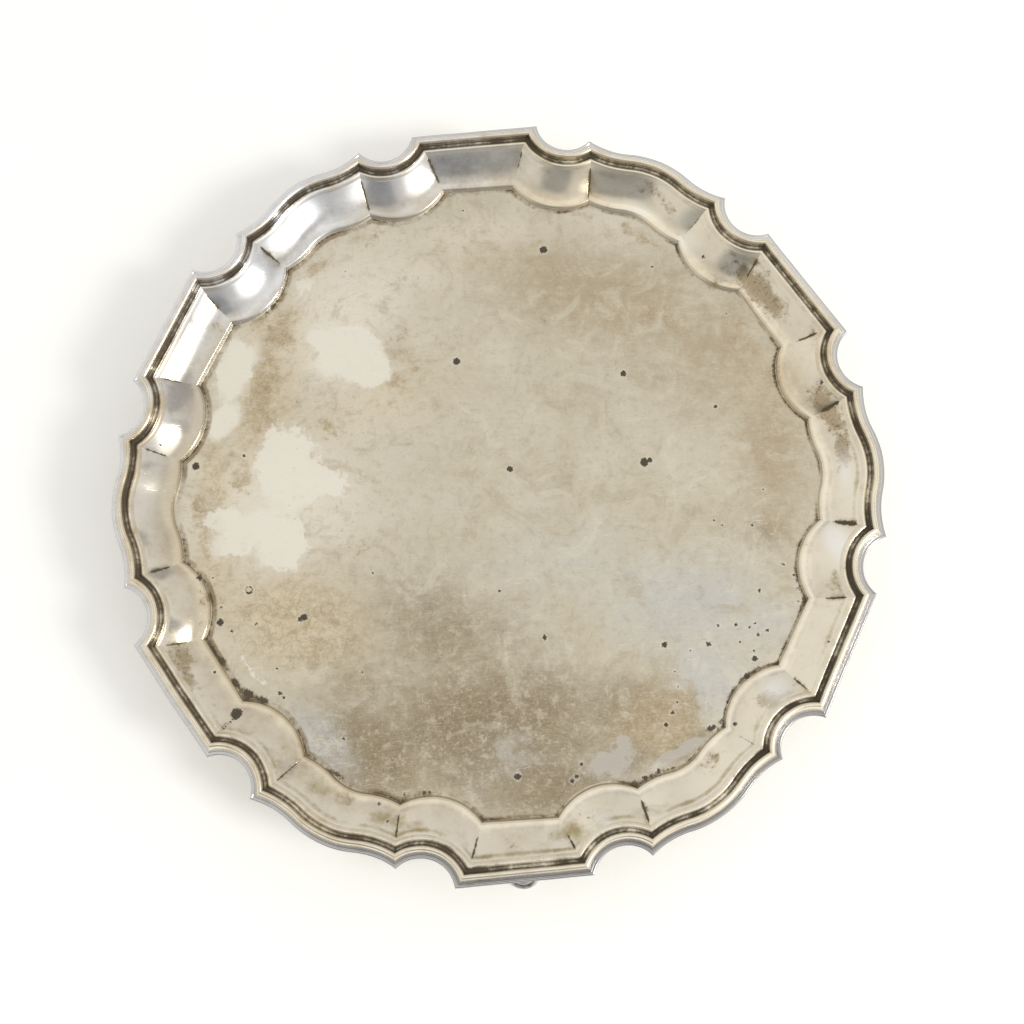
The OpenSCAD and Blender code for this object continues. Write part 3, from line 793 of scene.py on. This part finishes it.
def plate_rings():
    """The plate's rings, from the middle of the well over the edge to the underside.

    Each has its points, its height and its share of the way across the border.
    """
    rim_ring, well_ring = whole_ring(RIM, MOULD_W), whole_ring(WELL, 0)
    flange_ring = whole_ring(RIM, FLANGE_INSET)
    top, under = border_sections()

    def across(share):
        return well_ring + (rim_ring - well_ring) * share

    inner = whole_ring(WELL, WELL_INSETS[0] * MM)
    outward, inward = np.linspace(0.02, 1, FLOOR_RINGS)[:-1], np.linspace(1, 0.02, UNDER_RINGS)[1:]
    rings = [(inner * scale, well_z, MIDDLE) for scale in outward]
    rings += [(whole_ring(WELL, inset * MM), well_z, -inset) for inset in WELL_INSETS]
    rings += [(across(share), well_z + z, share) for share, z in top]
    rings += [(flange_ring, z, 1) for z in (flange_z, flange_z - sheet_t)]
    rings += [(across(share), well_z + z, UNDERSIDE) for share, z in under[::-1]]
    rings += [(well_ring * scale, under_z, UNDERSIDE) for scale in inward]
    return rings


def creases(points, share, corner):
    """Dirt in the creases between the border's panels, and how strong it is beside them."""
    bearings, starts, widths, strengths = np.array(CREASES).T
    start = around(points, bearings, starts)
    inward_fade = smooth_step((share - start) / 0.3, 0.0, 1.0)
    inward_fade = inward_fade * smooth_step(-share, -0.97, -0.9) * (share <= 1)
    width = around(points, bearings, widths) * (0.6 + 0.55 * inward_fade)
    strength = inward_fade * around(points, bearings, strengths)
    return 1.15 * np.exp(-corner / width) * strength, np.exp(-corner / 1.1) * strength


def plate_values(points, share, corner):
    """What the plate's material reads; corner is the way to a corner in millimetres."""
    on_border = smooth_step(share, 0.0, 0.05) * (share <= 1)
    on_floor = smooth_step(-share, 0.0, 0.3) * (share < 0)
    reach = around(points, FOOT_BEARINGS, FOOT_REACH)
    at_foot = smooth_step(-share, -0.02, 0.0) * (share <= 0.02)
    foot_line = smooth_step(share + reach, 0.0, 1.0) * at_foot
    foot_edge = smooth_step(share, -0.8, -0.2) * at_foot
    uneven = 0.5 + 0.5 * waves(points, 18 * MM, 3)
    patchy = 0.5 + 0.5 * waves(points, 40 * MM, 5)
    crease, beside_crease = creases(points, share, corner)
    crowding = 0.35 * np.exp(-corner / 3.5)
    foot = foot_line * (0.25 + 0.5 * uneven + crowding)
    thick = smooth_step(share, -1.5, -0.3) * (share < 0) * smooth_step(patchy * uneven, 0.4, 0.9)
    grime = foot_edge * (0.1 + 0.35 * uneven + 1.2 * crowding)
    grime = np.maximum.reduce([grime, 0.55 * thick, crease, patches(points, DIRT) * (share < 0.03)])
    beside_bead = hump(share, 0.9, 0.07) + 0.7 * hump(share, 0.02, 0.05)
    olive = beside_bead * around(points, OLIVE_BEARINGS, OLIVE) * (0.4 + 0.6 * uneven)
    olive = np.maximum(olive, 0.75 * beside_crease)
    # Painted shade: grey laid over the bright highlight on the round top of the step
    step_shade = hump(share, 0.25, 0.1) * around(points, STEP_BEARINGS, STEP_SHADE)
    # Painted shade: tarnish colour laid stronger towards the step, darker low down
    shaded_low_down = 1.7 - 1.1 * np.clip(share, 0, 1)
    stain = np.maximum(patches(points, STAIN), patches(points, FLOOR_STAIN) * on_floor)
    values = {
        "bright": on_border,
        # steel and tone: bare silver and tarnish by bearing, partly painted reflections
        "steel": around(points, STEEL_BEARINGS, STEELY),
        "tone": around(points, TONE_BEARINGS, TONE) * on_border * shaded_low_down,
        "grime": grime,
        "foot": foot,
        "olive": np.maximum(olive, patches(points, OLIVE_PATCHES)) * on_border,
        "glare": patches(points, GLARE) * on_border,
        "shade": np.maximum(patches(points, SHADE), step_shade) * on_border,
        "stain": stain * (share <= 1),
        "below": (share > 1) * 1.0,
    }
    for name, shapes in ON_THE_FLAT.items():
        values[name] = patches(points, shapes) * on_floor
    return values


def make_plate(material):
    """The plate: flat well, small step, coved border and the flange under the moulding."""
    rings, heights, shares = zip(*plate_rings())
    columns = len(rings[0])
    flat = np.concatenate(rings)
    points = np.stack([flat.real, flat.imag, np.repeat(heights, columns)], 1)
    points = np.vstack([points, [0, 0, well_z], [0, 0, under_z]])
    share = np.append(np.repeat(shares, columns), [MIDDLE, UNDERSIDE])
    far_off = 9
    corner = np.append(np.tile(corner_gap(), len(rings)) / MM, [far_off, far_off])
    last = len(points)
    base = (len(rings) - 1) * columns
    faces = grid_faces(len(rings), columns, True)
    faces += [(last - 2, (i + 1) % columns, i) for i in range(columns)]
    faces += [(last - 1, base + i, base + (i + 1) % columns) for i in range(columns)]

    values = plate_values(points, share, corner)
    points[:, 2] += 0.05 * MM * waves(points, 45 * MM, 8) * smooth_step(-share, 0, 1)
    skin = closed_mesh("plate_skin", hand_worked(points, 0.05 * MM, 22 * MM), faces)
    stand_for(mesh_piece("plate_skin", skin, values, material), "plate")


# ---- the rim moulding ----


def arc_profile(x, z, radius, start, end, count):
    """Points of a round part of the profile, in millimetres."""
    angles = np.radians(np.linspace(start, end, count))
    return [(x + radius * math.cos(a), z + radius * math.sin(a)) for a in angles]


# Moulding section: distance in from the edge and height above the flange, millimetres
LIP = [(0.6, -1.0), *arc_profile(0.22, -0.8, 0.2, -90, -180, 4),
       *arc_profile(0.42, -0.03, 0.4, 180, 42, 9)]
CAVETTO = rounded_path([(0.86, 0.2), (1.06, 0.36), (1.32, 0.74), (1.6, 1.26), (1.86, 1.8)], 3)
CREST = arc_profile(2.62, 1.85, 0.65, 152, -4, 13)
COVE = rounded_path([(3.28, 1.5), (3.33, 1.0), (3.5, 0.64), (3.8, 0.48), (4.15, 0.5), (4.42, 0.62)], 3)
BEAD = [*arc_profile(4.95, 0.25, 0.6, 140, 50, 8), (5.55, 0.5), (5.78, 0.28), (6.0, 0.05)]
SECTION = np.array([*LIP, *CAVETTO, *CREST, *COVE, *BEAD, (6.0, 0.0), (0.6, 0.0)])


def section_grime():
    """Where the moulding's section is darkened: tarnish in the groove, its edges and by the bead, and a
    darker outer hollow.
    """
    across, up = SECTION.T
    cove = smooth_step(across, 3.15, 3.5) * smooth_step(-across, -4.75, -4.2)
    edges = hump(across, 3.42, 0.14) + hump(across, 4.35, 0.14)
    hollow = hump(across, 1.35, 0.45) * (up > 0)
    bead = hump(across, 4.85, 0.35) * (up > 0)
    return cove, 0.38 * cove * edges + (up < -0.9) * 0.6, hollow, bead


def length_node(name, k):
    """The CAD node of one length in repeat k."""
    kind, _, end = name.partition("_")
    number = {"": k + 1, "in": 2 * k + 1, "out": 2 * k + 2}[end]
    return f"rim_{kind}_{number}"


def length_faces(rows, columns):
    """Faces of one length: its section drawn along it, closed underneath and at the ends."""
    last = (rows - 1) * columns
    faces = grid_faces(rows, columns, False)
    faces += [(last + i, last + i + 1, i + 1, i) for i in range(columns - 1)]
    faces.append(tuple(j * columns for j in range(rows)))
    faces.append(tuple(j * columns + columns - 1 for j in reversed(range(rows))))
    return faces


def length_values(points, corner):
    """What the moulding's material reads; corner is the way to the length's nearer end."""
    columns = len(corner)
    core, edges, hollow, bead = section_grime()
    cove_only = smooth_step(SECTION[:, 0], 3.0, 3.3) * smooth_step(-SECTION[:, 0], -4.9, -4.6)
    near = np.exp(-corner / 1.4)
    by_column = edges[:, None] + 0.4 * cove_only[:, None] * near[None, :]
    by_column = by_column + 0.25 * np.exp(-corner / 0.12)[None, :]
    dirt = by_column.ravel()
    for place, strengths in ((core, GROOVE_DIRT), (hollow, HOLLOW_DARKER), (bead, BEAD_DIRT)):
        strength = around(points, MOULDING_BEARINGS, strengths)
        dirt = dirt + np.repeat(place, columns) * strength
    dirt += 0.18 * waves(points, 11 * MM, 6) * smooth_step(dirt, 0.1, 0.4)
    inward = np.repeat(SECTION[:, 0], columns)
    reach = around(points, MOULDING_BEARINGS, GREY_REACH)
    grey = smooth_step(reach - inward, -0.35, 0.35)
    face = smooth_step(1.6 - inward, -0.5, 0.6)
    return {
        "grime": dirt,
        "lip": grey * around(points, MOULDING_BEARINGS, OUTER_GREY),
        # steel and tone carry the border's bare silver and tarnish, partly painted reflections
        "steel": np.maximum(around(points, STEEL_BEARINGS, STEELY), 0.85 * face),
        "tone": around(points, TONE_BEARINGS, TONE) * (1 - 0.7 * face),
    }


def make_rim(material):
    """Every length of the moulding, mitred against its neighbours."""
    across, up = SECTION.T * MM
    sector = RIM.lengths(across, SHARES)
    for k in range(SIDES):
        for name in LENGTHS:
            flat = sector[name] * turned(FRONT + k * SECTOR)
            rows, columns = flat.shape
            heights = np.repeat(flange_z + up, columns)
            points = np.stack([flat.real.ravel(), flat.imag.ravel(), heights], 1)
            values = length_values(points, end_gap(flat[rows // 2]) / MM)
            points = hand_worked(points, 0.06 * MM, 24 * MM)
            points = hand_worked(points, 0.02 * MM, 7 * MM)
            node = length_node(name, k)
            mesh = closed_mesh(node + "_moulding", points, length_faces(rows, columns))
            stand_for(mesh_piece(mesh.name, mesh, values, material), node)


# ---- the feet ----

# Sections across the leg, in millimetres: distance in from the pad's middle and height of
# the outer edge, the same for the inner edge, half width
LEG = [
    (18.8, 16.0, 27.4, 16.0, 4.6), (17.6, 15.2, 25.8, 13.4, 4.4), (15.6, 14.2, 22.4, 10.4, 4.1),
    (12.6, 12.7, 18.2, 8.0, 3.7), (9.4, 11.0, 13.8, 6.2, 3.2), (6.2, 9.0, 9.6, 4.6, 2.7),
    (3.4, 7.0, 6.2, 3.4, 2.35), (1.2, 5.2, 3.6, 2.6, 2.15), (-0.8, 3.6, 1.9, 1.9, 2.0),
    (-1.9, 2.2, 1.4, 1.4, 1.7),
]
PAD = [
    (0.0, 0.0), (4.5, 0.0), (4.7, 0.12), (4.8, 0.4), (4.78, 0.7), (4.6, 1.0), (4.2, 1.2), (3.75, 1.28),
    (3.62, 1.4), (3.6, 1.7), (3.45, 1.95), (3.1, 2.15), (2.6, 2.4), (2.1, 2.9), (1.5, 3.6), (0.0, 3.7),
]
# The round solder plate at the top of the leg: radius, and how far in from the pad it sits
PLATE_R, PLATE_IN = 6.4, 23.2


def capped_faces(rows, sides):
    """Faces of a closed tube of rows, with flat ends."""
    faces = grid_faces(rows, sides, True)
    faces.append(tuple(reversed(range(sides))))
    faces.append(tuple((rows - 1) * sides + i for i in range(sides)))
    return faces


def lathe(profile, centre_x, sides=64):
    """A closed turned shape about a vertical line, from (radius, height) points."""
    angles = np.arange(sides) * math.tau / sides
    body = [p for p in profile if p[0] > 0]
    points = [(centre_x + r * math.cos(a), r * math.sin(a), z) for r, z in body for a in angles]
    return np.array(points), capped_faces(len(body), sides)


def leg_shape(sides=40):
    """The curved leg as a closed loft of ellipses."""
    line = rounded_path(LEG, 5)
    angles = np.arange(sides) * math.tau / sides
    points = []
    for outer_x, outer_z, inner_x, inner_z, half_width in line:
        for a in angles:
            share = (1 + math.cos(a)) / 2
            x = inner_x + (outer_x - inner_x) * share
            z = inner_z + (outer_z - inner_z) * share
            points.append((-x, half_width * math.sin(a), z))
    return np.array(points), capped_faces(len(line), sides)


def united(shapes):
    """One closed mesh from several closed shapes."""
    parts = [add_object(name, closed_mesh(name, points * MM, faces))
             for name, (points, faces) in shapes.items()]
    body = parts[0]
    for other in parts[1:]:
        cut = body.modifiers.new("join_" + other.name, "BOOLEAN")
        cut.operation, cut.solver, cut.object = "UNION", "EXACT", other
    depsgraph = bpy.context.evaluated_depsgraph_get()
    mesh = bpy.data.meshes.new_from_object(body.evaluated_get(depsgraph))
    for part in parts:
        bpy.data.objects.remove(part)
    return mesh


def make_feet(material):
    """Three cast feet: solder plate, curved leg and stepped pad in one piece."""
    top = under_z / MM
    disc = [(PLATE_R - 0.5, top - 1.1), (PLATE_R - 0.15, top - 0.95), (PLATE_R, top - 0.7),
            (PLATE_R, top)]
    shape = united({"pad": lathe(PAD, 0.0), "leg": leg_shape(),
                    "solder_plate": lathe(disc, -PLATE_IN)})
    for k, node in enumerate(("foot_front", "foot_right", "foot_left")):
        mesh = shape.copy()
        turn = Matrix.Rotation(FRONT + k * 2 * SECTOR, 4, "Z")
        mesh.transform(turn @ Matrix.Translation((pad_dist, 0, 0)))
        heights = np.array([v.co.z for v in mesh.vertices]) / MM
        pad = smooth_step(-heights, -3.5, -1.5)
        values = {
            "grime": 0.85 * hump(heights, 1.35, 0.25) + 0.6 * hump(heights, top - 1.2, 0.5),
            "tone": 0.7 - 0.5 * pad,
            "lip": 0.5 - 0.2 * pad,
            "steel": pad,
        }
        piece = mesh_piece(node + "_casting", mesh, values, material, sharp=math.radians(35))
        stand_for(piece, node)


# ---- studio ----


def make_camera():
    """Camera over the front of the salver, tipped from the vertical, looking at the well."""
    distance = 0.37624
    tilt, swing, roll = (math.radians(a) for a in (12.045, 1.487, 2.335))
    focal_share = 1410.9 / 1024
    data = bpy.data.cameras.new("camera")
    data.sensor_width = 36.0
    data.lens = data.sensor_width * focal_share
    data.shift_x, data.shift_y = 0.0135, -0.0214
    data.clip_start, data.clip_end = 0.01, 50
    camera = add_object("camera", data)
    back = Vector((-math.sin(tilt) * math.sin(swing), -math.sin(tilt) * math.cos(swing), math.cos(tilt)))
    camera.location = Vector((0, 0, well_z)) + back * distance
    right = Vector((math.cos(swing), -math.sin(swing), 0))
    up = back.cross(right)
    axes = Matrix((right, up, back)).transposed() @ Matrix.Rotation(-roll, 3, "Z")
    camera.rotation_mode = "QUATERNION"
    camera.rotation_quaternion = axes.to_quaternion()
    bpy.context.scene.camera = camera


def make_floor():
    """A plain white table top that glows a little, as paper lit from below does."""
    s = Shader("floor_white")
    grain = s.centred_noise(30, 3.0, 0.55)
    colour = s.mix(s.ramp(grain, -0.25, 0.25), (0.9, 0.89, 0.84, 1), (0.92, 0.91, 0.86, 1))
    s.bsdf.inputs["Emission Color"].default_value = (1.0, 0.985, 0.93, 1)
    s.bsdf.inputs["Emission Strength"].default_value = 0.17
    material = s.finish(colour, s.ramp(grain, -0.3, 0.3, 0.6, 0.7), 0.0, grain, 0.01 * MM)
    half = 3.0
    mesh = bpy.data.meshes.new("floor")
    corners = [(-half, -half, 0), (half, -half, 0), (half, half, 0), (-half, half, 0)]
    mesh.from_pydata(corners, [], [(0, 1, 2, 3)])
    mesh.materials.append(material)
    add_object("floor", mesh)


def sky_direction(bearing, elevation):
    """Unit vector from the salver to a place in the room, angles in degrees."""
    b, e = math.radians(bearing), math.radians(elevation)
    return Vector((math.cos(e) * math.cos(b), math.cos(e) * math.sin(b), math.sin(e)))


def softbox(name, bearing, elevation, distance, size, power):
    """A round area light that faces the salver."""
    light = bpy.data.lights.new(name, "AREA")
    light.shape, light.size, light.energy = "DISK", size, power
    lamp = add_object(name, light)
    away = sky_direction(bearing, elevation)
    lamp.location = away * distance
    lamp.rotation_mode = "QUATERNION"
    lamp.rotation_quaternion = away.to_track_quat("Z", "Y")


def make_world():
    """A pale room, dimmer towards the front and overhead, brighter round the key light."""
    world = bpy.data.worlds.new("room")
    world.use_nodes = True
    bpy.context.scene.world = world
    sky = Nodes(world.node_tree)
    way = sky.node("TexCoord", {}).outputs["Generated"]

    def towards(bearing, elevation, near, far, low, high):
        """High within near degrees of a direction, low beyond far degrees of it."""
        inputs = {0: way, 1: sky_direction(bearing, elevation)}
        dot = sky.node("VectorMath", inputs, operation="DOT_PRODUCT").outputs["Value"]
        return sky.ramp(dot, math.cos(math.radians(far)), math.cos(math.radians(near)), low, high)

    dark_window = towards(-108, 42, 15, 23, 1.0, 0.63)
    dark_corner = towards(-112, 66, 12, 24, 1.0, 0.82)
    dark_front = towards(-95, 5, 15, 50, 1.0, 0.6)
    wall = towards(140, 30, 10, 45, 1.0, 1.15)
    ceiling = towards(60, 86, 10, 38, 0.73, 1.0)
    key_glow = towards(-40, 42, 3, 20, 0.0, 0.85)
    dark = sky.times(sky.times(dark_window, dark_corner), dark_front)
    room = sky.times(dark, sky.times(wall, ceiling))
    background = sky.tree.nodes["Background"]
    sky.feed(background.inputs["Color"], sky.mix(dark_window, (0.84, 0.92, 1.1, 1), (0.99, 0.99, 1.0, 1)))
    sky.feed(background.inputs["Strength"], sky.math("ADD", room, key_glow))


bpy.context.scene.view_settings.view_transform = "Standard"
make_camera()
make_floor()
make_world()
softbox("key", bearing=-25, elevation=41, distance=1.6, size=0.44, power=9.8)
make_plate(plate_silver())
make_rim(cast_silver("rim_silver", 0.18))
make_feet(cast_silver("foot_silver", 0.22))
